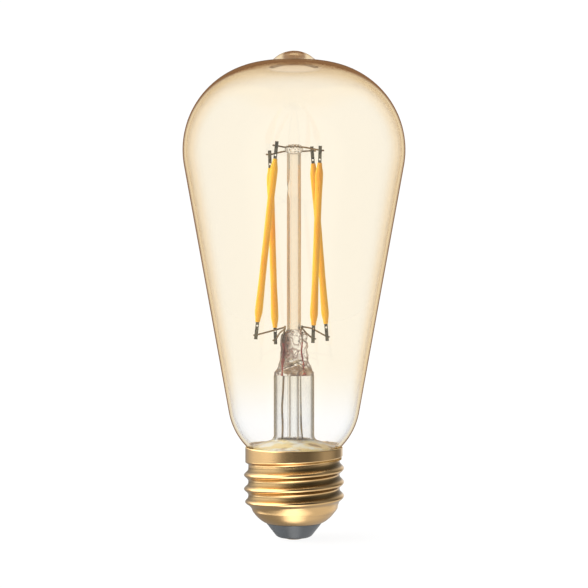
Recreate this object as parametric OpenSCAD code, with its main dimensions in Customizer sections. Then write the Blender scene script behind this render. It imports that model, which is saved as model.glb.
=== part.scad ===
// Smart filament bulb: a tapered amber glass envelope on a medium Edison screw cap, four LED
// filaments on a glass stem, and the driver with its radio module inside the cap.
// Millimetres. The origin is the centre of the contact's outer face. +Z runs up the bulb's axis.
// -Y is the front and +X is to the right of it.

/* [Envelope] */
// Widest diameter of the glass
bulb_d = 58.4; // [56:0.2:60]
// Height of the widest ring above the contact
widest_z = 101.9; // [98:0.1:104]
// Radius of the shallow crown across the top
crown_r = 76; // [60:1:100]
// Radius of the shoulder between crown and taper
shoulder_r = 23; // [18:0.5:26]
// Lean of the tapered side from the axis
taper_deg = 10.3; // [9.5:0.1:10.8]
// Height where the taper ends and the lower curve starts
waist_z = 33.2; // [31:0.2:35]
// Radius of the lower curve that runs into the cap
waist_r = 17.4; // [17:0.2:19]
// Wall thickness of the blown glass
glass_t = 0.9; // [0.7:0.1:1.1]
// Diameter of the solid glass tip on the crown
tip_d = 12.4; // [8:0.2:14]
// Height of the tip above the crown
tip_h = 3; // [1:0.1:4]

/* [Screw cap] */
// Height of the brass rim above the contact
rim_z = 24.1; // [23.6:0.1:24.1]
// Outer diameter of the smooth collar
collar_d = 25.6; // [25.2:0.1:25.8]
// Diameter over the thread's crests
thread_d = 26.3; // [26:0.05:26.5]
// Diameter over the thread's roots
root_d = 24; // [23.8:0.1:24.4]
// Rise of the thread in one turn
thread_pitch = 3.63; // [3.6:0.01:3.65]
// Thickness of the rolled brass sheet
sheet_t = 0.3; // [0.25:0.05:0.35]
// Diameter of the hole in the shell's foot, which the insulator fills
foot_d = 14.8; // [14.6:0.2:15.4]
// Diameter of the contact's disc
contact_d = 5.6; // [5:0.2:6]

/* [Stem] */
// Outer diameter of the flare's tube
stem_d = 10.6; // [10:0.2:11]
// Wall thickness of the flare
stem_t = 0.8; // [0.6:0.1:0.9]
// Height where the flare's tube meets the pinch
pinch_z = 43; // [42:0.5:44]
// Width of the pinch's blade
blade_w = 8.4; // [8:0.2:9]
// Thickness of the pinch's blade
blade_t = 3.2; // [3:0.1:3.6]
// Turn of the blade about the axis
blade_turn = 40; // [30:1:45]
// Outer diameter of the exhaust tube
exhaust_d = 3.4; // [3:0.1:3.4]
// Outer diameter of the column
column_d = 3.7; // [3.4:0.1:3.8]
// Bore of the column
column_bore = 2.4; // [2:0.1:2.6]
// Height where the column stands on the pinch
column_z = 54.9; // [54.4:0.1:55.4]
// Height of the column's upper end
column_top = 101; // [99:0.5:102]
// Diameter of the glass button
button_d = 4.8; // [4.4:0.1:5.4]
// Height of the glass button
button_h = 2.4; // [2.2:0.1:3]

/* [Filaments] */
// Length of the coated part of a filament
coat_l = 42.6; // [40:0.2:44]
// Diameter of the coating at mid length
coat_d = 1.76; // [1.7:0.02:2]
// Diameter of the coating's swollen ends
coat_end_d = 2.04; // [1.9:0.02:2.2]
// Length of an end tab
tab_l = 4.6; // [4:0.1:5]
// Width of an end tab
tab_w = 0.9; // [0.8:0.05:1.2]
// Thickness of an end tab
tab_t = 0.3; // [0.25:0.05:0.35]
// Light chips on one filament
chip_count = 28; // [20:1:30]

/* [Wires] */
// Diameter of the leads sealed in the stem
lead_d = 0.5; // [0.4:0.05:0.5]
// Diameter of the wires that carry the filaments
wire_d = 0.44; // [0.4:0.02:0.46]
// Diameter of the covered wires to shell and contact
cable_d = 0.6; // [0.5:0.05:0.6]

/* [Driver] */
// Width of the upright circuit board
board_w = 17; // [15:0.5:17.5]
// Height of the upright circuit board
board_h = 10.8; // [10:0.2:10.8]
// Thickness of the circuit board
board_t = 1; // [0.8:0.1:1.2]
// Diameter of the storage capacitor
capacitor_d = 6.3; // [5:0.1:6.3]
// Height of the storage capacitor
capacitor_h = 8.6; // [7:0.2:9]
// Diameter of the choke
choke_d = 5; // [4:0.2:5.4]

/* [Hidden] */
$fn = 72;

amber = [0.98, 0.86, 0.6, 0.35];
clear = [0.88, 0.92, 0.92, 0.4];
brass = [0.85, 0.66, 0.36];
phosphor = [0.95, 0.66, 0.16];
nickel = [0.4, 0.38, 0.34];

// Envelope outline
bulb_r = bulb_d / 2;
shoulder_c = [bulb_r - shoulder_r, widest_z];
crown_c = [0, widest_z - sqrt(pow(crown_r - shoulder_r, 2) - pow(shoulder_c[0], 2))];
shoulder_top = atan2(shoulder_c[1] - crown_c[1], shoulder_c[0]);
taper_top = shoulder_c + shoulder_r * [cos(taper_deg), -sin(taper_deg)];
waist_x = taper_top[0] - (taper_top[1] - waist_z) * tan(taper_deg);
waist_c = [waist_x, waist_z] + waist_r * [-cos(taper_deg), sin(taper_deg)];
neck_r = 11.9;
neck_fillet_r = 0.9;
neck_end_z = 20.9;
neck_fillet_c = [neck_r + neck_fillet_r,
                 waist_c[1] - sqrt(pow(waist_r + neck_fillet_r, 2)
                                   - pow(neck_r + neck_fillet_r - waist_c[0], 2))];
waist_end = atan2(neck_fillet_c[1] - waist_c[1], neck_fillet_c[0] - waist_c[0]);
tip_r = tip_d / 2;
tip_base_z = crown_c[1] + sqrt(pow(crown_r, 2) - pow(tip_r, 2));
tip_arc_r = (pow(tip_r, 2) + pow(tip_h, 2)) / (2 * tip_h);
tip_c = [0, tip_base_z + tip_h - tip_arc_r];
crown_start = acos(tip_r / crown_r);

// Screw shell
collar_r = collar_d / 2;
crest_z = 14.95;
thread_sharpness = 1.5;
foot_fullness = 1.3;
thread_mid_r = (thread_d + root_d) / 4;
thread_amp = (thread_d - root_d) / 4;
foot_r = foot_d / 2;
foot_z = 4.3;
foot_top_z = 7.4;
foot_wide_r = 10.8;
collar_edge_z = 19.8;
contact_flat_r = 1.9;
contact_top_z = 0.96;
shell_columns = 44;
shell_rows = 36;

// Flare and pinch
stem_r = stem_d / 2;
flare_rim_r = neck_r - glass_t;
flare_curve_r = 1.6;
flare_c = [stem_r + flare_curve_r, 27.2];
flare_turn = 252;
flare_out = [-sin(flare_turn), cos(flare_turn)];
flare_foot = flare_c + flare_curve_r * [cos(flare_turn), sin(flare_turn)];
flare_rim = flare_foot + flare_out * (flare_rim_r - flare_foot[0]) / flare_out[0];
exhaust_r = exhaust_d / 2;
exhaust_bore_r = 0.9;
exhaust_end_z = 19.4;
// The pinch's sections: height, half width, half thickness and squareness of each
pinch_sections = [
    [pinch_z, stem_r, stem_r, 2],
    [pinch_z + 1.2, stem_r - 0.1, stem_r - 1, 2],
    [pinch_z + 2.4, stem_r - 0.5, stem_r - 2.4, 2.2],
    [pinch_z + 3.8, blade_w / 2 + 0.2, blade_t / 2 + 0.3, 2.6],
    [pinch_z + 5.4, blade_w / 2, blade_t / 2, 3],
    [pinch_z + 10.2, blade_w / 2, blade_t / 2, 3],
    [column_z - 1, blade_w / 2 - 0.5, blade_t / 2 + 0.2, 2.6],
    [column_z - 0.5, column_d / 2 + 0.5, column_d / 2 + 0.15, 2],
    [column_z, column_d / 2 + 0.1, column_d / 2 + 0.1, 2]
];
pinch_sides = 28;
// Places of the two leads along the blade, and where each runs
lead_left = 3.4 * [-cos(blade_turn), -sin(blade_turn)];
lead_right = 2.2 * [cos(blade_turn), sin(blade_turn)];
seal_top_z = 51.5;

// Filaments: the centre of each coating's upper and lower end in plan, and its middle's height
filament_heads = [[-4.9, -5.2], [-6.3, 2.3], [6.7, -2.3], [5.1, 5.2]];
filament_feet = [[-9.5, -2], [-5.1, 8.4], [5, -8.4], [8.5, 5]];
filament_mids = [78.1, 76.4, 77.3, 77.6];
strip_w = 0.9;
strip_t = 0.35;
chip_w = 0.45;
chip_t = 0.15;
chip_l = 0.8;
tab_grip = 3.5;
wire_r = wire_d / 2;
button_z = column_top + button_h / 2;
front_link = [-1, button_z + 0.45];
back_link = [1, button_z - 0.45];

// Driver
board_z = 7.4;
board_y = board_t / 2;
solder_turn = 42;
gap_r = (neck_r + collar_r - sheet_t) / 2;

function smooth(t) = let (u = min(1, max(0, t))) u * u * (3 - 2 * u);
function mix(a, b, t) = a + (b - a) * t;
function arc(c, r, from, to, steps) =
    [for (i = [0:steps]) let (a = mix(from, to, i / steps)) c + r * [cos(a), sin(a)]];
function polar(r, turn) = [r * cos(turn), r * sin(turn)];
function lift(p, z) = [p[0], p[1], z];

// One side of the envelope's wall, inset by t, from the crown down to the neck's end
function wall(t) = concat(
    arc(shoulder_c, shoulder_r - t, shoulder_top, -taper_deg, 20),
    arc(waist_c, waist_r - t, -taper_deg, waist_end, 12),
    arc(neck_fillet_c, neck_fillet_r + t, 180 + waist_end, 180, 4),
    [[neck_r - t, neck_end_z]]
);

// A round wire through a list of points, as one closed solid
module wire(path, r, up = [0, 1, 0], sides = 8) {
    last = len(path) - 1;
    rings = [for (i = [0:last])
        let (along = path[min(i + 1, last)] - path[max(i - 1, 0)],
             u = cross(up, along) / norm(cross(up, along)),
             v = cross(along, u) / norm(along))
        for (k = [0:sides - 1]) path[i] + r * (cos(360 * k / sides) * u + sin(360 * k / sides) * v)];
    walls = [for (i = [0:last - 1], k = [0:sides - 1])
        let (a = i * sides + k, b = i * sides + (k + 1) % sides)
        each [[a, a + sides, b], [b, a + sides, b + sides]]];
    start = [for (k = [0:sides - 1]) k];
    finish = [for (k = [sides - 1:-1:0]) last * sides + k];
    polyhedron(points = rings, faces = concat([start, finish], walls));
}

// ---- Glass ----

module glass_envelope() color(amber) rotate_extrude() polygon(concat(
    arc(tip_c, tip_arc_r, 90, 90 - asin(tip_r / tip_arc_r), 8),
    arc(crown_c, crown_r, crown_start, shoulder_top, 14),
    wall(0),
    [for (i = [len(wall(glass_t)) - 1:-1:0]) wall(glass_t)[i]],
    arc(crown_c, crown_r - glass_t, shoulder_top, 90, 16)
));

module stem_flare() color(clear) rotate_extrude() polygon(concat(
    [[stem_r, pinch_z]],
    arc(flare_c, flare_curve_r, 180, flare_turn, 10),
    [flare_rim, flare_rim + stem_t * [cos(flare_turn), sin(flare_turn)]],
    arc(flare_c, flare_curve_r + stem_t, flare_turn, 180, 10),
    [[stem_r - stem_t, pinch_z]]
));

// Signed power, for the rounded rectangles of the pinch's sections
function spow(x, e) = sign(x) * pow(abs(x), e);

module pinch_body() {
    rings = [for (section = pinch_sections, k = [0:pinch_sides - 1])
        let (a = 360 * (k + 0.5) / pinch_sides, e = 2 / section[3])
        [section[1] * spow(cos(a), e), section[2] * spow(sin(a), e), section[0]]];
    last = len(pinch_sections) - 1;
    walls = [for (i = [0:last - 1], k = [0:pinch_sides - 1])
        let (a = i * pinch_sides + k, b = i * pinch_sides + (k + 1) % pinch_sides)
        each [[a, a + pinch_sides, b], [b, a + pinch_sides, b + pinch_sides]]];
    bottom = [for (k = [0:pinch_sides - 1]) k];
    top = [for (k = [pinch_sides - 1:-1:0]) last * pinch_sides + k];
    rotate(blade_turn) polyhedron(points = rings, faces = concat([bottom, top], walls));
}

module stem_pinch() color(clear) difference() {
    pinch_body();
    for (place = [lead_left, lead_right]) translate(lift(place, pinch_z - 1))
        cylinder(d = lead_d / cos(15), h = column_z - pinch_z + 2, $fn = 12);
    translate([0, 0, pinch_z - 1]) cylinder(r = exhaust_bore_r, h = 3.4, $fn = 12);
    translate([0, 0, pinch_z + 2.2]) rotate([90, 0, blade_turn])
        cylinder(r = 0.7, h = stem_r + 1, $fn = 12);
}

module exhaust_tube() color(clear) rotate_extrude() polygon([
    [exhaust_r, pinch_z], [exhaust_bore_r, pinch_z], [exhaust_bore_r, 22.5], [0, 21.2],
    [0, exhaust_end_z], [0.7, exhaust_end_z + 0.2], [exhaust_r, 22]
]);

module stem_column() color(clear) difference() {
    translate([0, 0, column_z]) cylinder(d = column_d, h = column_top - column_z);
    translate([0, 0, column_z - 1]) cylinder(d = column_bore, h = column_top - column_z + 2);
    translate([-column_d / 2, 0, 91.8]) cube([2, 1, 3.4], center = true);
}

module column_button() color(clear) difference() {
    rotate_extrude() polygon(concat(
        [[0, column_top]],
        arc([(button_d - button_h) / 2, button_z], button_h / 2, -90, 90, 12),
        [[0, column_top + button_h]]
    ));
    for (link = [front_link, back_link])
        translate([-button_d, link[0], link[1]]) rotate([0, 90, 0]) cylinder(d = wire_d, h = 2 * button_d);
}

// ---- Leads in the stem ----

module outer_lead(path) color(nickel) wire(path, lead_d / 2);

module outer_lead_left() outer_lead([
    [-3.3, -board_y - lead_d / 2, 17.2], [-3.3, -board_y - lead_d / 2, 18.6],
    [-3.1, -2.4, 20.6], [-2.9, -2.3, 30], lift(lead_left, pinch_z)
]);

module outer_lead_right() outer_lead([
    [3.4, board_y + lead_d / 2, 16.6], [3.4, board_y + lead_d / 2, 18.4],
    [3, 2.4, 21], [1.9, 1.9, 30], lift(lead_right, pinch_z)
]);

module seal_lead(place) color("firebrick")
    translate(lift(place, pinch_z)) cylinder(d = lead_d, h = seal_top_z - pinch_z);

module seal_lead_left() seal_lead(lead_left);
module seal_lead_right() seal_lead(lead_right);

module inner_lead(place, tip) color(nickel)
    wire([lift(place, seal_top_z), lift(place, column_z), tip], lead_d / 2);

module inner_lead_left() inner_lead(lead_left, [-2.3, -2, 55.9]);
module inner_lead_right() inner_lead(lead_right, [2.2, 1.7, 55.9]);

// ---- Filaments ----

// Unit vector up filament n, and the point at height s above its coating's lower end
function filament_lean(n) = filament_heads[n - 1] - filament_feet[n - 1];
function filament_rise(n) = sqrt(pow(coat_l, 2) - pow(norm(filament_lean(n)), 2));
function filament_way(n) = lift(filament_lean(n), filament_rise(n)) / coat_l;
function filament_at(n, s) =
    lift(filament_feet[n - 1], filament_mids[n - 1] - filament_rise(n) / 2) + s * filament_way(n);

module on_filament(n) {
    way = filament_way(n);
    turn = atan2(way[1], way[0]);
    translate(filament_at(n, 0)) rotate([0, acos(way[2]), turn]) rotate(-turn) children();
}

module strip() translate([0, 0, coat_l / 2]) cube([strip_w, strip_t, coat_l], center = true);

module chips() for (k = [0:chip_count - 1])
    translate([0, -(strip_t + chip_t) / 2, 2 + (coat_l - 4) * (k + 0.5) / chip_count])
        cube([chip_w, chip_t, chip_l], center = true);

// Radius of the coating at height s: pinched at its ends, swollen near them, slimmer between
function coat_r(s) =
    let (end = min(s, coat_l - s),
         swell = mix(coat_end_d, coat_d, smooth((end - 3) / 9)) / 2)
    mix(0.62, swell, smooth(end / 3));

module filament_strip(n) color("white") on_filament(n) strip();

module filament_chips(n) color("gold") on_filament(n) chips();

module filament_coating(n) color(phosphor) on_filament(n) difference() {
    rotate_extrude() polygon(concat(
        [[0, 0]],
        [for (s = [0, 0.6, 1.2, 1.8, 2.4, 3, 6, 9, 12]) [coat_r(s), s]],
        [for (s = [12, 9, 6, 3, 2.4, 1.8, 1.2, 0.6, 0]) [coat_r(s), coat_l - s]],
        [[0, coat_l]]
    ));
    strip();
    chips();
}

module tab(hole_z) difference() {
    translate([-tab_w / 2, -tab_t / 2, 0]) cube([tab_w, tab_t, tab_l]);
    translate([0, 0, hole_z]) rotate([90, 0, 0]) cylinder(d = 0.5, h = 2, center = true);
}

module filament_top_tab(n) color(nickel) on_filament(n) translate([0, 0, coat_l]) tab(1);

module filament_foot_tab(n) color(nickel) on_filament(n) translate([0, 0, -tab_l]) tab(tab_l - 1);

// ---- Wires that carry the filaments ----

// Where a wire lies against a tab, behind it, with a short end past it
function tab_side(n, s) = filament_at(n, s) + [0, tab_t / 2 + wire_r, 0];
head_grip = coat_l + tab_grip;
foot_grip = -tab_grip;

module upper_wire(left, right, link) color(nickel) wire([
    tab_side(left, head_grip) + [-1, 0, 0.1], tab_side(left, head_grip),
    [-button_d / 2 - 0.2, link[0], link[1]], [button_d / 2 + 0.2, link[0], link[1]],
    tab_side(right, head_grip), tab_side(right, head_grip) + [1, 0, -0.1]
], wire_r, [0, 0, 1]);

module upper_wire_front() upper_wire(1, 3, front_link);
module upper_wire_back() upper_wire(2, 4, back_link);

// From the inner lead's end to filament n's foot, by way of one bend
module lower_wire(n) {
    starts = [[-2.3, -2, 55.6], [-2.3, -1.6, 55.2], [2.2, 1.2, 55.2], [2.2, 1.7, 55.6]];
    bends = [[-4.4, -2.2, 55], [-3.8, 2.6, 54], [3.2, -3, 54], [4.6, 2.6, 55.3]];
    color(nickel) wire([
        starts[n - 1], bends[n - 1], tab_side(n, foot_grip),
        tab_side(n, foot_grip) + 0.7 * [sign(bends[n - 1][0]), 0, -0.1]
    ], wire_r, [0, 0, 1]);
}

// ---- Screw cap ----

// Height of the collar's lower edge at turn a: it climbs with the thread round the front
// and comes back down behind
function collar_edge(a) =
    collar_edge_z + thread_pitch / 2 * (a < 180 ? 1 - smooth(a / 180) : (a - 180) / 180);

// Thread wave at turn a and height z, from -1 in a root to 1 on a crest; the last crest
// fades out behind, under the collar
function thread_wave(a, z) =
    let (turns = (z - crest_z) / thread_pitch - a / 360,
         wave = 2 * pow((1 + cos(360 * turns)) / 2, thread_sharpness) - 1,
         left = a < 180 ? 1 - smooth(a / 180) : 0)
    turns < 0.5 ? wave : turns < 1.5 ? mix(-1, wave, left) : -1;

function foot_curve(z) =
    let (w = min(1, max(0, (foot_top_z - z) / (foot_top_z - foot_z))))
    mix(foot_r, foot_wide_r, pow(1 - pow(w, foot_fullness), 1 / foot_fullness));

function shell_r(a, z) =
    let (threaded = thread_mid_r + thread_amp * thread_wave(a, z),
         body = mix(foot_curve(z), threaded, smooth((z - 7.3) / 3.2)))
    mix(body, collar_r, smooth((z - collar_edge(a) + 0.35) / 0.7));

// Rows sit closer together over the curved foot than over the thread
function shell_z(row) = foot_z + (rim_z - foot_z) * pow(row / shell_rows, 1.12);

function shell_point(a, z, inset) =
    let (step = 0.05,
         slope = (shell_r(a, min(rim_z, z + step)) - shell_r(a, max(foot_z, z - step)))
                 / (min(rim_z, z + step) - max(foot_z, z - step)),
         out = [1, -slope] / norm([1, -slope]),
         p = [shell_r(a, z), z] - inset * out)
    [p[0] * cos(a), p[0] * sin(a), p[1]];

module cap_shell() {
    side = shell_columns * (shell_rows + 1);
    points = [for (inset = [0, sheet_t], row = [0:shell_rows], k = [0:shell_columns - 1])
        shell_point(360 * k / shell_columns, shell_z(row), inset)];
    skin = [for (row = [0:shell_rows - 1], k = [0:shell_columns - 1])
        let (a = row * shell_columns + k, b = row * shell_columns + (k + 1) % shell_columns)
        each [[a, a + shell_columns, b], [b, a + shell_columns, b + shell_columns]]];
    lining = [for (f = skin) [f[0] + side, f[2] + side, f[1] + side]];
    foot = [for (k = [0:shell_columns - 1]) let (a = k, b = (k + 1) % shell_columns)
        each [[a, b, a + side], [b, b + side, a + side]]];
    rim = [for (k = [0:shell_columns - 1])
        let (a = shell_rows * shell_columns + k,
             b = shell_rows * shell_columns + (k + 1) % shell_columns)
        each [[a, a + side, b], [b, a + side, b + side]]];
    color(brass) polyhedron(points = points, faces = concat(skin, lining, foot, rim));
}

module cap_insulator() color([0.3, 0.31, 0.32]) rotate_extrude() polygon(concat(
    arc([3.35, 2.4], 2, -106, -38.7, 8),
    [[foot_r - 0.05, foot_z - 0.05], [foot_r - 0.7, foot_z + 0.6], [foot_r + 0.6, 5.4]],
    [[foot_r + 0.6, 6.2], [0.6, 6.2], [0.6, 1.6], [0.95, 1.6], [0.95, contact_top_z]],
    [[contact_d / 2, contact_top_z]]
));

module centre_contact() color(brass) rotate_extrude() polygon([
    [0.5, 0], [contact_flat_r, 0], [contact_d / 2, contact_top_z - 0.5], [contact_d / 2, contact_top_z],
    [0.95, contact_top_z], [0.95, 1.6], [0.5, 1.6]
]);

module contact_solder() color("silver") rotate_extrude() polygon(concat(
    [[0, 0.8]], arc([0, 0.9], 0.8, -90, -52, 4), [[0.5, 0.3], [0.5, 0.8]]
));

module basing_cement() color("linen") difference() {
    translate([0, 0, neck_end_z]) cylinder(r = collar_r - sheet_t, h = 2.3);
    translate([0, 0, neck_end_z - 1]) cylinder(r = neck_r, h = 5);
    rotate(solder_turn) translate([gap_r, 0, neck_end_z]) cube([2, 0.8, 8], center = true);
}

module rim_solder() color("silver") difference() {
    translate(lift(polar(collar_r - 0.05, solder_turn), rim_z - 0.6)) sphere(r = 0.75);
    cylinder(r = collar_r, h = rim_z + 2, $fn = 240);
}

// ---- Driver inside the cap ----

module box(size, low) translate(low) cube(size);

module driver_sleeve() color("ivory") difference() {
    translate([0, 0, 8.4]) cylinder(r = 11.3, h = 11);
    translate([0, 0, 7.4]) cylinder(r = 11, h = 13);
}

module driver_board() color("seagreen")
    box([board_w, board_t, board_h], [-board_w / 2, -board_t / 2, board_z]);

module storage_capacitor() {
    r = capacitor_d / 2;
    color("steelblue") translate([-4.4, -board_y - r, 8.2]) rotate_extrude() polygon([
        [0, 0], [r - 0.3, 0], [r, 0.3], [r, 0.9], [r - 0.25, 1.2], [r, 1.5],
        [r, capacitor_h - 0.3], [r - 0.3, capacitor_h], [0, capacitor_h]
    ]);
}

module choke() {
    r = choke_d / 2;
    color("dimgray") translate([2, -board_y - r, 8.6]) rotate_extrude() polygon([
        [0, 0], [r, 0], [r, 1], [r - 0.5, 1.2], [r - 0.5, 4.8], [r, 5], [r, 6], [0, 6]
    ]);
}

module fuse_resistor() {
    r = 1.1;
    color("tan") translate([6.4, -board_y - r, 9.2]) rotate_extrude() polygon([
        [0, 0], [r, 0.3], [r, 1.3], [r - 0.2, 1.6], [r - 0.2, 4.4], [r, 4.7], [r, 5.7], [0, 6]
    ]);
}

module bridge_rectifier() color("black") box([4.6, 2.4, 3.8], [2.6, board_y, 12.2]);

module driver_chip() color("black") box([4.9, 1.5, 3.6], [2.4, board_y, 8]);

module small_parts() color("peru") for (k = [0:3])
    box([1.2, 0.6, 0.8], [1.7 * k - 0.6, -board_y - 0.6, 16.2]);

module radio_board() color("darkgreen") box([7.6, 0.8, 9.8], [-8.3, board_y, 7.9]);

module radio_shield() color("silver") difference() {
    box([6.4, 1.7, 6.2], [-7.7, board_y + 0.8, 8.5]);
    box([6, 1.5, 5.8], [-7.5, board_y + 0.8, 8.7]);
}

module radio_chip() color("black") box([3.8, 0.8, 3.8], [-6.4, board_y + 0.8, 9.7]);

module antenna_wire() {
    r = 0.25;
    rise = [for (z = [16.2, 18.6]) [-4.6, board_y + 0.8 + r, z]];
    sweep = [for (turn = [150:-15:60]) lift(polar(6.6, turn), 20.4)];
    color("goldenrod") wire(concat(rise, sweep), r, [1, 0.3, 0.2]);
}

module shell_wire() color("white") wire([
    [8, board_y + cable_d / 2, 15.6], [8, board_y + cable_d / 2, 17.4],
    lift(polar(10, 36), 19.7), lift(polar(gap_r, solder_turn), 20.6),
    lift(polar(gap_r, solder_turn), rim_z - 0.9)
], 0.2, [1, -1, 0.1]);

module contact_wire() color("red") wire([
    [0, 0, 0.8], [0, 0, 6.4], [0, -board_y - 0.4, 7.3], [0, -board_y - 0.3, 8.6]
], cable_d / 2, [1, 0, 0]);

glass_envelope();
stem_flare();
stem_pinch();
exhaust_tube();
stem_column();
column_button();
outer_lead_left();
outer_lead_right();
seal_lead_left();
seal_lead_right();
inner_lead_left();
inner_lead_right();
upper_wire_front();
upper_wire_back();
for (n = [1:4]) {
    lower_wire(n);
    filament_strip(n);
    filament_chips(n);
    filament_coating(n);
    filament_top_tab(n);
    filament_foot_tab(n);
}
cap_shell();
cap_insulator();
centre_contact();
contact_solder();
basing_cement();
rim_solder();
driver_sleeve();
driver_board();
storage_capacitor();
choke();
bridge_rectifier();
driver_chip();
fuse_resistor();
small_parts();
radio_board();
radio_chip();
radio_shield();
antenna_wire();
shell_wire();
contact_wire();
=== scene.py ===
"""Looks of a screw-cap filament bulb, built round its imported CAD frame."""

import math

import bmesh
import bpy
import numpy as np
from bpy.props import FloatProperty, FloatVectorProperty, IntProperty, PointerProperty
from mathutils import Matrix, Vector, noise


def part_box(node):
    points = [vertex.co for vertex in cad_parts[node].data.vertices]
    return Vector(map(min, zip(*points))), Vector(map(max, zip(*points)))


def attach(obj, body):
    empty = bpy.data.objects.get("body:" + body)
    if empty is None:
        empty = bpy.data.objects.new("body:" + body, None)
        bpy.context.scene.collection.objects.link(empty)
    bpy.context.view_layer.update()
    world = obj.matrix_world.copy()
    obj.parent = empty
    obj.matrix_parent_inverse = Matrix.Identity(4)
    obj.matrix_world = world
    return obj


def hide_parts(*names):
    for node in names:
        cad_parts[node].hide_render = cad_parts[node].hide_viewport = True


bl_info = {
    "name": "Filament bulb looks",
    "version": (1, 0, 0),
    "blender": (4, 5, 0),
    "location": "3D View > Sidebar > Bulb",
    "description": "Glass, stem, filaments, screw cap and driver of a filament bulb, and its studio",
    "category": "Object",
}

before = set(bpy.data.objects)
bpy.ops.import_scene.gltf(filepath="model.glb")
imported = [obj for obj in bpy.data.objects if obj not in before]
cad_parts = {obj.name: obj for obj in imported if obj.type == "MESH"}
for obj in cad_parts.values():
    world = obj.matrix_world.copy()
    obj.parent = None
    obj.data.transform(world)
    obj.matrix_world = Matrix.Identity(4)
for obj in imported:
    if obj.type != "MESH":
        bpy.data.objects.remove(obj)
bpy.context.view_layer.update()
MM = 0.001
GLASS_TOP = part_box("glass_envelope")[1].z
BULB_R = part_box("glass_envelope")[1].x


# ---- Properties ----

def length(name, about, mm):
    return FloatProperty(name=name, description=about, default=mm * MM, min=0, subtype="DISTANCE", unit="LENGTH")


def turn(name, about, degrees):
    return FloatProperty(name=name, description=about, default=math.radians(degrees), subtype="ANGLE")


def share(name, about, value):
    return FloatProperty(name=name, description=about, default=value, min=0, max=1, subtype="FACTOR")


def linear(red, green, blue):
    """A display colour, 0 to 255, as a linear one."""
    return tuple(((c / 255 + 0.055) / 1.055) ** 2.4 for c in (red, green, blue)) + (1.0,)


def colour(name, about, *rgb):
    return FloatVectorProperty(name=name, description=about, default=linear(*rgb), size=4, min=0, max=1, subtype="COLOR")


class BulbGlass(bpy.types.PropertyGroup):
    """Sizes of the envelope and the stem"""
    crown_r: length("Crown radius", "Radius of the flat dome round the tip", 76)
    shoulder_r: length("Shoulder radius", "Radius of the round shoulder", 23)
    widest_z: length("Widest height", "Height of the widest place", 101.9)
    taper: turn("Taper", "Lean of the straight side", 10.3)
    waist_r: length("Waist radius", "Radius of the curve from the side into the neck", 17.4)
    waist_z: length("Waist height", "Height where that curve starts", 33.2)
    neck_r: length("Neck radius", "Outside radius of the neck in the cap", 11.9)
    neck_fillet: length("Neck fillet", "Radius of the curve into the neck", 0.9)
    neck_end_z: length("Neck end", "Height of the neck's lower end", 20.9)
    wall: length("Wall", "Thickness of the glass", 0.9)
    tip_r: length("Tip radius", "Radius of the melted tip at its foot", 6.2)
    tip_h: length("Tip height", "Height of the melted tip", 3)
    stem_r: length("Stem radius", "Outside radius of the stem tube", 5.3)
    stem_wall: length("Stem wall", "Thickness of the stem tube", 0.8)
    pinch_z: length("Pinch height", "Height where the tube is pressed flat", 43)
    blade_turn: turn("Pinch turn", "Turn of the flat pinch from the front", 40)
    exhaust_r: length("Exhaust tube radius", "Outside radius of the tube inside the stem", 1.7)
    column_r: length("Column radius", "Outside radius of the column", 1.85)
    column_bore: length("Column bore", "Inside radius of the column", 1.2)
    column_z: length("Column foot", "Height of the column's lower end", 54.9)
    column_top: length("Column top", "Height of the column's upper end", 101)
    button_r: length("Button radius", "Radius of the bead that holds the upper wires", 2.4)
    button_h: length("Button height", "Height of that bead", 2.4)


class BulbMetal(bpy.types.PropertyGroup):
    """Sizes of the cap, wires and filaments"""
    rim_z: length("Rim height", "Height of the collar's rim", 24.1)
    collar_r: length("Collar radius", "Outside radius of the smooth collar", 12.8)
    crest_r: length("Crest radius", "Outside radius of the thread", 13.15)
    root_r: length("Root radius", "Radius of the thread's roots", 12)
    pitch: length("Pitch", "Rise of the thread in one turn", 3.63)
    crest_z: length("Crest height", "Height of a crest on the right side", 14.95)
    sheet: length("Sheet", "Thickness of the brass", 0.3)
    foot_r: length("Foot radius", "Radius of the opening round the insulator", 7.4)
    foot_wide_r: length("Foot curve radius", "Radius at the top of the foot's curve", 10.8)
    foot_z: length("Foot height", "Height of the cap's lower edge", 4.3)
    foot_top_z: length("Foot curve height", "Height of the top of the foot's curve", 7.4)
    collar_edge_z: length("Collar edge", "Lowest height of the collar's lower edge", 19.8)
    lead_r: length("Lead radius", "Radius of the leads in the stem", 0.25)
    wire_r: length("Wire radius", "Radius of the wires that carry the filaments", 0.22)
    coat_l: length("Coating length", "Length of a filament's coating", 42.6)
    coat_r: length("Coating radius", "Radius of the coating along its middle", 0.88)
    coat_end_r: length("Coating end radius", "Radius of the swelling near each end", 1.02)
    tab_t: length("Tab thickness", "Thickness of a filament's end tabs", 0.3)


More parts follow.
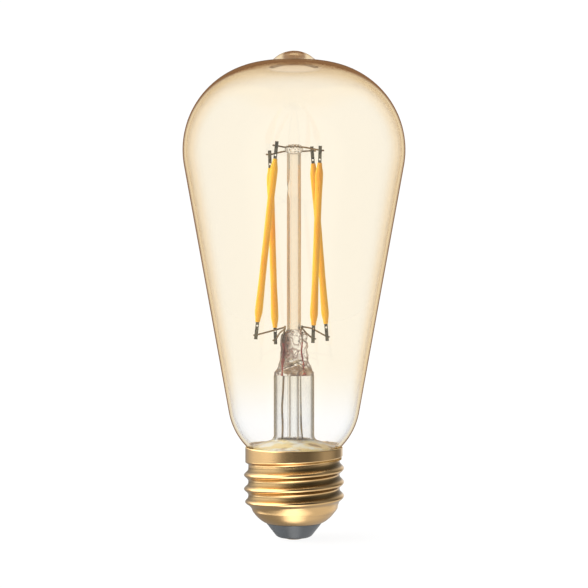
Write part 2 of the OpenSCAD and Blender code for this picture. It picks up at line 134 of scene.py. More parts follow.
class BulbColours(bpy.types.PropertyGroup):
    """Colours of the finishes"""
    amber: colour("Amber", "Tint of one wall of the envelope", 254, 249, 238)
    # Painted shade: the near-edge and rim tints of the envelope below stand in for the shade the glass shows towards
    # its edge.
    amber_near_edge_shade: colour("Amber near-edge shade", "Tint of the envelope near its edge", 245, 219, 172)
    clear_near_edge_shade: colour("Clear near-edge shade", "Tint of the clear glass near its edge", 234, 240, 245)
    amber_rim_shade: colour("Amber edge", "Tint of the envelope seen along its wall", 178, 106, 56)
    clear_rim_shade: colour("Clear edge", "Tint of the clear glass seen along its wall", 160, 168, 176)
    tip_glass: colour("Tip", "Tint of the melted tip", 253, 240, 220)
    # Painted shade: the tip's rim tint where it is seen along its edge.
    tip_rim_shade: colour("Tip edge", "Tint of the melted tip seen along its edge", 206, 150, 110)
    stem: colour("Stem", "Tint of the stem's glass", 252, 252, 251)
    # Painted shade: the stem's rim tint where its wall is seen along its edge.
    stem_rim_shade: colour("Stem edge", "Tint of the stem's glass seen along its wall", 84, 80, 62)
    column: colour("Column", "Tint of the column's glass", 252, 247, 240)
    # Painted shade: the column's rim tint where its wall is seen along its edge.
    column_rim_shade: colour("Column edge", "Tint of the column seen along its wall", 190, 134, 88)
    # Painted shade and reflection: the pinch's tint in its folds, along its rim and where the leads show at its left.
    pinch_painted_shade: colour("Pinch shade", "Tint of the folds in the pinch", 116, 80, 62)
    bead: colour("Bead", "Tint of the button", 214, 178, 138)
    brass: colour("Brass", "Bright brass of the screw shell", 232, 192, 136)
    # Painted shade on the thread's roots and upward flanks; on the centre contact, its darker random patches.
    brass_shade_and_patch: colour("Brass film", "Dull film over the roots and the flanks that face up", 142, 118, 80)
    # Painted highlight: a lighter brass along the collar's rim.
    brass_lip_highlight: colour("Brass lip", "Light edge of the collar", 255, 236, 190)
    insulator: colour("Insulator", "Dark glass of the cap's end", 72, 76, 79)
    solder: colour("Solder", "Tin solder", 196, 198, 200)
    # Painted reflections and highlight: these three colours of the backing behind the flare stand in for brass and
    # light seen through the glass.
    reflection_streaks: colour("Gold reflection streaks", "Gold cement behind the flare", 250, 224, 150)
    highlight_streaks: colour("Highlight streaks", "Thin cement behind the flare", 255, 253, 238)
    brown_reflection_streaks: colour("Brown reflection streaks", "Brown cement behind the flare", 158, 108, 46)
    cement: colour("Cement", "Basing cement", 206, 164, 86)
    # Pale yellow of the coating, also its painted edge light.
    coat_pale_and_edge_light: colour("Coating light", "Light yellow of the coating's edges", 252, 206, 44)
    coat_deep: colour("Coating deep", "Deep orange of the coating's middle", 244, 152, 6)
    nickel: colour("Nickel wire", "Wires and tabs", 146, 122, 84)
    copper: colour("Seal copper", "Red copper of the wires in the pinch", 176, 62, 38)


class BulbStudio(bpy.types.PropertyGroup):
    """Camera and stage"""
    lens: FloatProperty(name="Lens", description="Focal length in millimetres", default=97.96)
    distance: length("Distance", "From the bulb's axis to the camera", 420)
    eye_z: length("Eye height", "Height of the camera", 64.2)
    floor_r: length("Floor radius", "Radius of the pale floor", 3000)
    floor_glow: share("Floor glow", "Share of the floor's white that shadows can't take", 0.85)
    bounces: IntProperty(name="Bounces", description="Light bounces, for glass inside glass", default=32)


# ---- Shader maths ----

class Wire:
    """One output socket. Arithmetic on it adds Math nodes."""

    def __init__(self, finish, socket):
        self.finish, self.socket = finish, socket

    def maths(self, operation, a, b=0.0):
        return self.finish.node("ShaderNodeMath", {"operation": operation}, {0: a, 1: b})

    def __add__(self, other):
        return self.maths("ADD", self, other)

    def __sub__(self, other):
        return self.maths("SUBTRACT", self, other)

    def __rsub__(self, other):
        return self.maths("SUBTRACT", other, self)

    def __mul__(self, other):
        return self.maths("MULTIPLY", self, other)

    def __truediv__(self, other):
        return self.maths("DIVIDE", self, other)

    def __pow__(self, other):
        return self.maths("POWER", self, other)

    __radd__, __rmul__ = __add__, __mul__

    def most(self, other):
        return self.maths("MAXIMUM", self, other)

    def rise(self, low, high):
        """0 below low, 1 above high, smooth between."""
        return self.finish.node(
            "ShaderNodeMapRange", {"interpolation_type": "SMOOTHSTEP"},
            {"Value": self, "From Min": low, "From Max": high})

    def part(self, axis):
        return self.finish.node("ShaderNodeSeparateXYZ", {}, {0: self}, axis)


class Finish:
    """The node tree of a material or a world while it is built."""

    def __init__(self, owner):
        owner.use_nodes = True
        self.owner, self.tree = owner, owner.node_tree
        self.tree.nodes.clear()

    def node(self, kind, settings=None, sockets=None, out=0):
        made = self.tree.nodes.new(kind)
        for key, value in (settings or {}).items():
            if key == "stops":
                ramp = made.color_ramp
                while len(ramp.elements) < len(value):
                    ramp.elements.new(0.5)
                for element, (place, tone) in zip(ramp.elements, value):
                    element.position = place
                    element.color = tone if isinstance(tone, tuple) else (tone, tone, tone, 1)
            else:
                setattr(made, key, value)
        for key, value in (sockets or {}).items():
            if isinstance(value, Wire):
                self.tree.links.new(value.socket, made.inputs[key])
            else:
                made.inputs[key].default_value = value
        return Wire(self, made.outputs[out])

    def mix(self, mask, a, b, blend="MIX"):
        """Colour a where mask is 0, b where it is 1."""
        return self.node("ShaderNodeMix", {"data_type": "RGBA", "blend_type": blend, "clamp_factor": True},
                         {0: mask, 6: a, 7: b}, 2)

    def place(self):
        """The point in the row frame."""
        return self.node("ShaderNodeTexCoord", out="Object")

    def stretched(self, x, y, z):
        return self.node("ShaderNodeVectorMath", {"operation": "MULTIPLY"}, {0: self.place(), 1: (x, y, z)})

    def noise(self, scale, detail=2.0, where=None, roughness=0.5):
        return self.node("ShaderNodeTexNoise", {}, {
            "Vector": where or self.place(), "Scale": scale, "Detail": detail, "Roughness": roughness})

    def facing(self):
        """0 where the surface faces the eye, 1 along its edge."""
        return self.node("ShaderNodeLayerWeight", {}, {"Blend": 0.5}, "Facing")

    def bump(self, height, strength, distance):
        return self.node("ShaderNodeBump", {}, {"Height": height, "Strength": strength, "Distance": distance})

    def path(self, name):
        return self.node("ShaderNodeLightPath", out=name)

    def shader(self, kind="ShaderNodeBsdfPrincipled", **sockets):
        return self.node(kind, {}, {k.replace("_", " "): v for k, v in sockets.items()})

    def done(self, surface, volume=None):
        kind = "ShaderNodeOutputWorld" if isinstance(self.owner, bpy.types.World) else "ShaderNodeOutputMaterial"
        self.node_out(kind, surface)
        return self.owner

    def node_out(self, kind, surface):
        made = self.tree.nodes.new(kind)
        self.tree.links.new(surface.socket, made.inputs["Surface"])


def finish(name):
    return Finish(bpy.data.materials.new(name))


def glass(f, tint, normal=None, ior=1.46, roughness=0.0, shade=(1, 1, 1, 1)):
    """Clear glass: lamps and scattered light go straight through, tinted by shade."""
    sockets = {"Base_Color": tint, "Transmission_Weight": 1.0, "IOR": ior, "Roughness": roughness}
    if normal is not None:
        sockets["Normal"] = normal
    through = f.node("ShaderNodeBsdfTransparent", {}, {"Color": shade})
    soft = f.path("Is Shadow Ray").most(f.path("Is Diffuse Ray"))
    return f.node("ShaderNodeMixShader", {}, {0: soft, 1: f.shader(**sockets), 2: through})


# ---- Shapes ----

def arc(centre, r, start, end, steps):
    """Points along an arc, angles in radians."""
    return [(centre[0] + r * math.cos(start + (end - start) * i / steps),
             centre[1] + r * math.sin(start + (end - start) * i / steps)) for i in range(steps + 1)]


def line(a, b, steps):
    """Points after a, up to and with b."""
    return [(a[0] + (b[0] - a[0]) * i / steps, a[1] + (b[1] - a[1]) * i / steps) for i in range(1, steps + 1)]


def smooth(t):
    u = np.clip(t, 0, 1)
    return u * u * (3 - 2 * u)


def blend(a, b, t):
    return a + (b - a) * t


class Solid:
    """Corners and faces of one piece while it is built."""

    def __init__(self):
        self.points, self.faces, self.marks = [], [], []

    def ring(self, points):
        """Adds a ring of corners and returns where it starts and how many it has."""
        start = len(self.points)
        self.points += [tuple(p) for p in points]
        return start, len(points)

    def wall(self, a, b):
        """Faces between two rings. A ring of one corner is a pole."""
        (i, n), (j, m) = a, b
        for k in range(max(n, m)):
            k2 = (k + 1) % max(n, m)
            if n == 1:
                self.faces.append((i, j + k2, j + k))
            elif m == 1:
                self.faces.append((i + k, i + k2, j))
            else:
                self.faces.append((i + k, i + k2, j + k2, j + k))

    def lid(self, ring, back=False):
        corners = range(ring[0], ring[0] + ring[1])
        self.faces.append(tuple(reversed(corners) if back else corners))

    def turned(self, outline, steps, closed=True, shift=None):
        """Turns an outline of (radius, height) round the axis. shift moves a point of the surface."""
        rings = []
        for r, z in outline:
            turns = [0.0] if r < 1e-7 else [2 * math.pi * k / steps for k in range(steps)]
            ring = [Vector((r * math.cos(a), r * math.sin(a), z)) for a in turns]
            rings.append(self.ring([shift(p) for p in ring] if shift else ring))
        pairs = list(zip(rings, rings[1:] + rings[:1] if closed else rings[1:]))
        for a, b in pairs:
            if a[1] > 1 or b[1] > 1:
                self.wall(a, b)
        return self

    def drawn(self, path, r, sides=12, radius=None):
        """A round wire along a path of points, with rounded-off closed ends."""
        path = [Vector(p) for p in path]
        along = [(path[min(i + 1, len(path) - 1)] - path[max(i - 1, 0)]).normalized() for i in range(len(path))]
        side = along[0].orthogonal().normalized()
        rings = []
        for i, (p, way) in enumerate(zip(path, along)):
            side = (side - way * side.dot(way)).normalized()
            up = way.cross(side)
            here = radius(i / (len(path) - 1)) if radius else r
            rings.append(self.ring([
                p + here * (math.cos(2 * math.pi * k / sides) * side + math.sin(2 * math.pi * k / sides) * up)
                for k in range(sides)]))
        for a, b in zip(rings, rings[1:]):
            self.wall(a, b)
        tips = [self.ring([path[0] - along[0] * r * 0.4]), self.ring([path[-1] + along[-1] * r * 0.4])]
        self.wall(tips[0], rings[0])
        self.wall(rings[-1], tips[1])
        return self

    def block(self, low, size, bevel=0.0):
        """A box with chamfered edges."""
        x0, y0, z0 = low
        x1, y1, z1 = (a + b for a, b in zip(low, size))
        b = bevel
        levels = [(z0, b), (z0 + b, 0), (z1 - b, 0), (z1, b)] if b else [(z0, 0), (z1, 0)]
        rings = []
        for z, inset in levels:
            i = inset
            ring = [(x0 + b + i, y0 + i, z), (x1 - b - i, y0 + i, z), (x1 - i, y0 + b + i, z), (x1 - i, y1 - b - i, z),
                    (x1 - b - i, y1 - i, z), (x0 + b + i, y1 - i, z), (x0 + i, y1 - b - i, z), (x0 + i, y0 + b + i, z)]
            if not b:
                ring = [(x0, y0, z), (x1, y0, z), (x1, y1, z), (x0, y1, z)]
            rings.append(self.ring(ring))
        self.lid(rings[0], back=True)
        for low_ring, high_ring in zip(rings, rings[1:]):
            self.wall(low_ring, high_ring)
        self.lid(rings[-1])
        return self


def flowing(path, steps=8):
    """A smooth curve through a list of points."""
    p = [Vector(q) for q in path]
    p = [2 * p[0] - p[1]] + p + [2 * p[-1] - p[-2]]
    out = []
    for a, b, c, d in zip(p, p[1:], p[2:], p[3:]):
        for i in range(steps):
            t = i / steps
            out.append(0.5 * (2 * b + (c - a) * t + (2 * a - 5 * b + 4 * c - d) * t * t
                              + (3 * b - 3 * c + d - a) * t ** 3))
    return out + [p[-2]]


def bent(path, soften=10, step=0.25 * MM):
    """A line through a list of points, with its corners rounded off."""
    points = [Vector(path[0])]
    for a, b in zip(path, path[1:]):
        a, b = Vector(a), Vector(b)
        count = max(1, round((b - a).length / step))
        points += [a.lerp(b, i / count) for i in range(1, count + 1)]
    for _ in range(soften):
        points = [points[0]] + [(a + 2 * b + c) / 4 for a, b, c in zip(points, points[1:], points[2:])] + [points[-1]]
    return points


def mm(*values):
    return Vector(values) * MM


def add_piece(name, solid, material, nodes, crease=35):
    """Makes the mesh object of a piece, which rides on the bulb and stands for CAD nodes."""
    mesh = bpy.data.meshes.new(name)
    mesh.from_pydata([tuple(p) for p in solid.points], [], solid.faces)
    if solid.marks:
        mesh.attributes.new("groove", "FLOAT", "POINT").data.foreach_set("value", solid.marks)
    mesh.materials.append(material)
    mesh.validate()
    shaped = bmesh.new()
    shaped.from_mesh(mesh)
    bmesh.ops.recalc_face_normals(shaped, faces=shaped.faces)
    shaped.to_mesh(mesh)
    shaped.free()
    mesh.polygons.foreach_set("use_smooth", [True] * len(mesh.polygons))
    if crease:
        mesh.set_sharp_from_angle(angle=math.radians(crease))
    piece = bpy.data.objects.new(name, mesh)
    bpy.context.scene.collection.objects.link(piece)
    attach(piece, "root")
    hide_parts(*nodes)
    return piece


def paint(names, material, bevel=0.0):
    """Gives CAD nodes a finish, and rounds their edges."""
    for name in names:
        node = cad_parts[name]
        node.data.materials.clear()
        node.data.materials.append(material)
        if bevel:
            edge = node.modifiers.new("edges", "BEVEL")
            edge.width, edge.segments, edge.limit_method = bevel, 2, "ANGLE"
            edge.harden_normals = True


# ---- Finishes ----

def envelope_finish(c):
    f = finish("amber glass")
    z = f.place().part("Z")
    amber = z.rise(0.027, 0.047)
    edge = f.facing()
    body = f.mix(amber, (1, 1, 1, 1), tuple(c.amber))
    # Painted shade: the tint grows darker and warmer near the edge and along the wall, set by how far the surface turns
    # from the eye.
    near_edge_shade = f.mix(amber, tuple(c.clear_near_edge_shade), tuple(c.amber_near_edge_shade))
    side = f.mix(amber, tuple(c.clear_rim_shade), tuple(c.amber_rim_shade))
    tint = f.mix(edge.rise(0.84, 0.97), f.mix(edge.rise(0.42, 0.78), body, near_edge_shade), side)
    at = f.place()
    away = (at.part("X") ** 2 + at.part("Y") ** 2) ** 0.5
    melted = z.rise(GLASS_TOP - 8 * MM, GLASS_TOP - 7 * MM) * (1 - away.rise(6.6 * MM, 7.6 * MM))
    # Painted shade along the melted tip's rim.
    tip_with_rim_shade = f.mix(edge.rise(0.9, 0.99), tuple(c.tip_glass), tuple(c.tip_rim_shade))
    ripple = f.noise(60.0, 2.0, f.stretched(1, 1, 0.4))
    return f.done(glass(f, f.mix(melted, tint, tip_with_rim_shade), f.bump(ripple, 0.01, 0.0006)))


def tube_finish(c, name, outer_r, rim_shade_colour, start, end, body=None):
    """Clear tube with painted shade where its outer wall is seen along its edge."""
    f = finish(name)
    at = f.place()
    away = (at.part("X") ** 2 + at.part("Y") ** 2) ** 0.5
    skin = away.rise(outer_r - 0.3 * MM, outer_r - 0.1 * MM)
    tint = f.mix(f.facing().rise(start, end) * skin, body or tuple(c.stem), rim_shade_colour)
    return glass(f, tint, f.bump(f.noise(300.0, 2.0, f.stretched(1, 1, 0.3)), 0.02, 0.0004)), f


def flare_finish(c, outer_r):
    """The stem's tube, and an opaque backing behind the flare's foot painted with gold and brown reflections of the
    brass and white highlights.
    """
    tube, f = tube_finish(c, "stem tube glass", outer_r, tuple(c.stem_rim_shade), 0.46, 0.58)
    z = f.place().part("Z")
    # Painted reflections of the brass in gold and brown, and painted white highlights, on an opaque backing below the
    # flare's foot.
    reflection_streaks = f.noise(260.0, 3.0, f.stretched(1, 1, 3))
    tone = f.mix(reflection_streaks.rise(0.38, 0.6), tuple(c.reflection_streaks), tuple(c.highlight_streaks))
    tone = f.mix(f.noise(190.0, 2.0, f.stretched(1, 1.4, 1)).rise(0.52, 0.62) * 0.8, tone, tuple(c.brown_reflection_streaks))
    reflection_backing = f.shader(Base_Color=tone, Roughness=0.35, Coat_Weight=1.0, Coat_Roughness=0.05,
                      Normal=f.bump(reflection_streaks, 0.3, 0.0003))
    return f.done(f.node("ShaderNodeMixShader", {}, {0: 1 - z.rise(25.4 * MM, 26.6 * MM), 1: tube, 2: reflection_backing}))


def pinch_finish(c):
    f = finish("pressed glass")
    folds = f.noise(330.0, 3.0, f.stretched(1, 1, 0.6))
    across = f.place().part("X")
    # Painted reflection of the leads over the left half of the upper pinch.
    lead_reflection = (1 - across.rise(-2.2 * MM, -0.2 * MM)) * f.place().part("Z").rise(46 * MM, 48.5 * MM)
    # Painted shade along thin lines that follow the folds, and in the folds themselves.
    fold_line_noise = f.noise(360.0, 1.0, f.stretched(1, 1, 0.8))
    fold_shade_lines = fold_line_noise.rise(0.43, 0.49) * (1 - fold_line_noise.rise(0.51, 0.57))
    shade = (fold_shade_lines * 0.9).most(folds.rise(0.54, 0.64) * 0.6).most(lead_reflection * (0.55 + folds * 0.8))
    # Painted shade along the rim, where the pinch is seen along its edge.
    rim = f.facing().rise(0.35, 0.7)
    tint = f.mix(shade, tuple(c.stem), tuple(c.pinch_painted_shade))
    return f.done(glass(f, f.mix(rim, tint, tuple(c.pinch_painted_shade)), f.bump(folds, 0.9, 0.0008)))


def bead_finish(c):
    f = finish("seeded bead glass")
    seeds = f.node("ShaderNodeTexVoronoi", {}, {"Vector": f.place(), "Scale": 1500.0})
    tint = f.mix(seeds.rise(0.1, 0.55), tuple(c.bead), tuple(c.stem))
    return f.done(glass(f, tint, f.bump(seeds, 0.9, 0.0003), roughness=0.05))


def brass_finish(c):
    f = finish("rolled brass")
    groove = f.node("ShaderNodeAttribute", {"attribute_name": "groove"}, out="Fac")
    cloud = f.noise(180.0, 4.0)
    streak = f.noise(1.0, 3.0, f.stretched(140, 140, 5200))
    # Painted shade: darker brass over the roots and the flanks that face up, broken up by cloud.
    thread_shade = (groove + (cloud - 0.5) * 0.3).rise(0.05, 0.95)
    # Painted highlight along the collar's rim, where the mark goes below zero.
    lip = (0 - groove).rise(0.0, 1.0)
    tone = f.mix(thread_shade, tuple(c.brass), tuple(c.brass_shade_and_patch))
    speck = f.noise(2600.0, 1.0).rise(0.72, 0.8) * 0.2
    tone = f.mix(lip, f.mix(speck, tone, linear(130, 96, 54)), tuple(c.brass_lip_highlight))
    foot = 1 - f.place().part("Z").rise(7.5 * MM, 9.5 * MM)
    rough = 0.09 + 0.26 * groove.most(0.0) + 0.04 * streak + 0.5 * lip + 0.13 * foot
    return f.done(f.shader(Base_Color=tone, Metallic=1.0, Roughness=rough,
                           Normal=f.bump(streak + 0.5 * cloud, 0.05, 0.00006)))


def metal_finish(name, tone, dark, rough, scale=900.0, strength=0.15, metallic=1.0):
    """Plain metal with a fine drawn grain and darker patches."""
    f = finish(name)
    patch = f.noise(scale * 0.4, 3.0)
    grain = f.noise(scale, 3.0, f.stretched(1, 1, 0.2))
    shade = f.mix(patch.rise(0.45, 0.7), tone, dark)
    return f.done(f.shader(Base_Color=shade, Metallic=metallic, Roughness=rough + 0.12 * (patch - 0.5),
                           Normal=f.bump(grain, strength, 0.00005)))


def matt_finish(name, tone, other, rough, scale=700.0, strength=0.2, coat=0.0, depth=0.00005):
    """Plastic, ceramic, paper or paint: mottled between two tones, with a fine grain."""
    f = finish(name)
    patch = f.noise(scale, 4.0)
    fine = f.noise(scale * 4, 2.0)
    shade = f.mix(patch.rise(0.35, 0.7), tone, other)
    return f.done(f.shader(Base_Color=shade, Roughness=rough + 0.15 * (fine - 0.5), Coat_Weight=coat,
                           Coat_Roughness=0.15, Normal=f.bump(patch + 0.6 * fine, strength, depth)))


def coating_finish(c):
    """Silicone coating full of phosphor: deeper orange where it faces the eye, painted edge light along its edges, and
    a faint painted glow.
    """
    f = finish("phosphor coating")
    # Painted edge light: paler where the coating is seen along its edge.
    edge = f.facing().rise(0.25, 0.85)
    cloud = f.noise(260.0, 3.0, f.stretched(1, 1, 0.35))
    grain = f.noise(5200.0, 2.0)
    deep = f.mix((cloud - 0.5) * 1.2 + 0.4, tuple(c.coat_deep), tuple(c.coat_pale_and_edge_light))
    tone = f.mix(edge * 0.85, deep, tuple(c.coat_pale_and_edge_light))
    tone = f.mix((grain - 0.5) * 0.3, tone, linear(255, 214, 60))
    # Emission Strength 0.03 is a faint painted glow.
    return f.done(f.shader(Base_Color=tone, Roughness=0.38 + 0.2 * (grain - 0.5), Subsurface_Weight=0.15,
                           Subsurface_Radius=(0.0006, 0.0004, 0.0001), Subsurface_Scale=1.0,
                           Emission_Color=tone, Emission_Strength=0.03, Specular_IOR_Level=0.1,
                           Coat_Weight=0.03, Coat_Roughness=0.3, Normal=f.bump(grain + cloud * 2, 0.15, 0.00006)))


# ---- Operators ----

def sizes():
    scene = bpy.context.scene
    return scene.bulb_glass, scene.bulb_metal, scene.bulb_colours


def envelope_side(g, inset):
    """The envelope's wall from the shoulder down to the neck's end, inset by a thickness, and its crown's centre and turn."""
    shoulder = (BULB_R - g.shoulder_r, g.widest_z)
    crown_z = g.widest_z - math.sqrt((g.crown_r - g.shoulder_r) ** 2 - shoulder[0] ** 2)
    top = math.atan2(shoulder[1] - crown_z, shoulder[0])
    straight = (shoulder[0] + g.shoulder_r * math.cos(g.taper), shoulder[1] - g.shoulder_r * math.sin(g.taper))
    waist_x = straight[0] - (straight[1] - g.waist_z) * math.tan(g.taper)
    waist = (waist_x - g.waist_r * math.cos(g.taper), g.waist_z + g.waist_r * math.sin(g.taper))
    fillet_x = g.neck_r + g.neck_fillet
    fillet = (fillet_x, waist[1] - math.sqrt((g.waist_r + g.neck_fillet) ** 2 - (fillet_x - waist[0]) ** 2))
    end = math.atan2(fillet[1] - waist[1], fillet[0] - waist[0])
    upper = arc(shoulder, g.shoulder_r - inset, top, -g.taper, 44)
    lower = arc(waist, g.waist_r - inset, -g.taper, end, 26)
    neck = arc(fillet, g.neck_fillet + inset, math.pi + end, math.pi, 8)
    side = upper + line(upper[-1], lower[0], 24)[:-1] + lower + neck[1:]
    return side + line(neck[-1], (g.neck_r - inset, g.neck_end_z), 4), crown_z, top


class BULB_OT_envelope(bpy.types.Operator):
    """Blown envelope with its melted tip"""
    bl_idname = "bulb.envelope"
    bl_label = "Envelope"

    def execute(self, context):
        g, _, c = sizes()
        outside, crown_z, top = envelope_side(g, 0)
        inside, _, _ = envelope_side(g, g.wall)
        tip_arc = (g.tip_r ** 2 + g.tip_h ** 2) / (2 * g.tip_h)
        tip_z = crown_z + math.sqrt(g.crown_r ** 2 - g.tip_r ** 2) + g.tip_h - tip_arc
        half = math.asin(g.tip_r / tip_arc)
        tip = arc((0, tip_z), tip_arc, math.pi / 2, math.pi / 2 - half * 0.93, 18)
        crown = arc((0, crown_z), g.crown_r, math.acos(g.tip_r * 1.03 / g.crown_r), top, 26)
        back = arc((0, crown_z), g.crown_r - g.wall, top, math.pi / 2, 36)
        low = outside[-1][1]
        lip = [(g.neck_r - g.wall / 2, low - 0.0)]
        foot = tip[-1]
        crown = line(foot, crown[0], 3)[:-1] + crown
        top = tip + crown[:8]
        for _ in range(6):
            top = top[:1] + [((a[0] + 2 * b[0] + c2[0]) / 4, (a[1] + 2 * b[1] + c2[1]) / 4)
                             for a, b, c2 in zip(top, top[1:], top[2:])] + top[-1:]
        outline = top + crown[8:] + outside[1:] + lip + inside[::-1] + back[1:]
        solid = Solid().turned(outline, 168, closed=False)
        add_piece("glass_envelope_blown", solid, envelope_finish(c), ["glass_envelope"], 0)
        return {"FINISHED"}


class BULB_OT_stem(bpy.types.Operator):
    """Glass of the stem: flare, pinch, exhaust tube, column and button"""
    bl_idname = "bulb.stem"
    bl_label = "Stem glass"

    def execute(self, context):
        g, m, c = sizes()
        curve, turn_out = 1.6 * MM, math.radians(252)
        centre = (g.stem_r + curve, 27.2 * MM)
        way = (-math.sin(turn_out), math.cos(turn_out))
        foot = (centre[0] - curve * way[1] * -1, centre[1] - curve * way[0])
        reach = (g.neck_r - g.wall - foot[0]) / way[0]
        rim = (foot[0] + reach * way[0], foot[1] + reach * way[1])
        under = (rim[0] + g.stem_wall * way[1], rim[1] - g.stem_wall * way[0])
        gap = 0.02 * MM
        top = g.pinch_z - gap
        inner_r = g.stem_r - g.stem_wall
        outline = [(g.stem_r, top)] + line((g.stem_r, top), (g.stem_r, centre[1]), 26)[:-1]
        outline += arc(centre, curve, math.pi, turn_out, 22)
        lower = arc(centre, curve + g.stem_wall, turn_out, math.pi, 22)
        outline += line(outline[-1], rim, 10) + [under] + line(under, lower[0], 10)[:-1] + lower
        outline += line((inner_r, centre[1]), (inner_r, top), 26)
        add_piece("stem_flare_glass", Solid().turned(outline, 96), flare_finish(c, g.stem_r), ["stem_flare"])

        bore = 0.9 * MM
        outline = [(g.exhaust_r, g.pinch_z + 0.6 * MM), (bore, g.pinch_z + 0.6 * MM)]
        outline += line((bore, g.pinch_z), (bore, 22.6 * MM), 20) + [(0.5 * MM, 21.6 * MM), (0, 21.3 * MM)]
        outline += [(0, 19.4 * MM), (0.7 * MM, 19.6 * MM), (1.4 * MM, 20.8 * MM), (g.exhaust_r, 22 * MM)]
        outline += line((g.exhaust_r, 22 * MM), (g.exhaust_r, g.pinch_z), 20)
        glass_mix, f = tube_finish(c, "exhaust tube glass", g.exhaust_r, tuple(c.stem_rim_shade), 0.5, 0.8)
        exhaust = f.done(glass_mix)
        add_piece("exhaust_tube_glass", Solid().turned(outline, 48, closed=False), exhaust,
                  ["exhaust_tube"])
        self.pinch(g, c)

        glass_mix, f = tube_finish(c, "column glass", g.column_r, tuple(c.column_rim_shade), 0.5, 0.9, tuple(c.column))
        column = f.done(glass_mix)
        outline = [(g.column_bore, g.column_z), (g.column_r, g.column_z)]
        outline += line((g.column_r, g.column_z), (g.column_r, g.column_top), 40)
        outline += [(g.column_bore, g.column_top)]
        outline += line((g.column_bore, g.column_top), (g.column_bore, g.column_z), 40)[:-1]
        solid = Solid().turned(outline, 40, shift=self.vent(g))
        add_piece("stem_column_glass", solid, column, ["stem_column"])

        middle = g.column_top + g.button_h / 2
        round_r = g.button_h / 2
        outline = [(0, g.column_top)] + arc((g.button_r - round_r, middle), round_r, -math.pi / 2, math.pi / 2, 18)
        outline += [(0, g.column_top + g.button_h)]
        inner = line(outline[0], outline[1], 6)
        outer = line(outline[-2], outline[-1], 6)
        outline = [outline[0]] + inner + outline[2:-1] + outer

        def lumps(p):
            swing = noise.noise(p * 900 + Vector((3, 1, 7)))
            return p + Vector((p.x, p.y, 0)) * 0.06 * swing
        add_piece("column_button_glass", Solid().turned(outline, 48, closed=False, shift=lumps),
                  bead_finish(c), ["column_button"], 0)
        return {"FINISHED"}

    def vent(self, g):
        """Dents the column where its vent was blown."""
        def shift(p):
            near = max(0.0, 1 - abs(p.z - 91.8 * MM) / (2.2 * MM))
            facing = max(0.0, -p.x / max(1e-6, math.hypot(p.x, p.y)) - 0.55) / 0.45
            inward = smooth(near) * smooth(facing) * 0.35 * MM
            out = Vector((p.x, p.y, 0)).normalized()
            return p + out * (float(inward) if math.hypot(p.x, p.y) < g.column_r * 0.9 else -float(inward) * 0.5)
        return shift

    def pinch(self, g, c):
        """Pressed blade from the tube to the column, with folds."""
        half_w, half_t = 4.2, 1.6
        rows = [(43.02, 5.2, 5.2, 2), (43.6, 5.28, 5.1, 2), (44.2, 5.2, 4.3, 2), (45.4, 4.8, 2.9, 2.2),
                (46.8, half_w + 0.2, half_t + 0.3, 2.6), (48.4, half_w, half_t, 3),
                (50.6, half_w - 0.05, half_t + 0.05, 3), (53.2, half_w - 0.1, half_t, 3),
                (53.9, half_w - 0.5, half_t + 0.2, 2.6), (54.4, 2.35, 2.0, 2), (54.9, 1.95, 1.95, 2)]
        heights = np.array([r[0] for r in rows])
        turn_by = g.blade_turn
        solid = Solid()
        rings = []
        sides = 72
        for z in np.linspace(heights[0], heights[-1], 58):
            w, t, e = (np.interp(z, heights, [r[i] for r in rows]) for i in (1, 2, 3))
            ring = []
            for k in range(sides):
                a = 2 * math.pi * k / sides
                x = w * math.copysign(abs(math.cos(a)) ** (2 / e), math.cos(a))
                y = t * math.copysign(abs(math.sin(a)) ** (2 / e), math.sin(a))
                p = Vector((x, y, z))
                swell = min(1.0, max(0.0, (z - 43.2) / 1.0)) * min(1.0, max(0.0, (54.8 - z) / 1.0))
                fold = noise.noise(p * 0.55 + Vector((1.7, 0.3, 5.1))) * 0.36 + noise.noise(p * 1.5) * 0.2
                p += Vector((p.x, p.y, 0)).normalized() * fold * swell
                ring.append((MM * (p.x * math.cos(turn_by) - p.y * math.sin(turn_by)),
                             MM * (p.x * math.sin(turn_by) + p.y * math.cos(turn_by)), MM * p.z))
            rings.append(solid.ring(ring))
        solid.lid(rings[0], back=True)
        for low, high in zip(rings, rings[1:]):
            solid.wall(low, high)
        solid.lid(rings[-1])
        add_piece("stem_pinch_glass", solid, pinch_finish(c), ["stem_pinch"], 50)


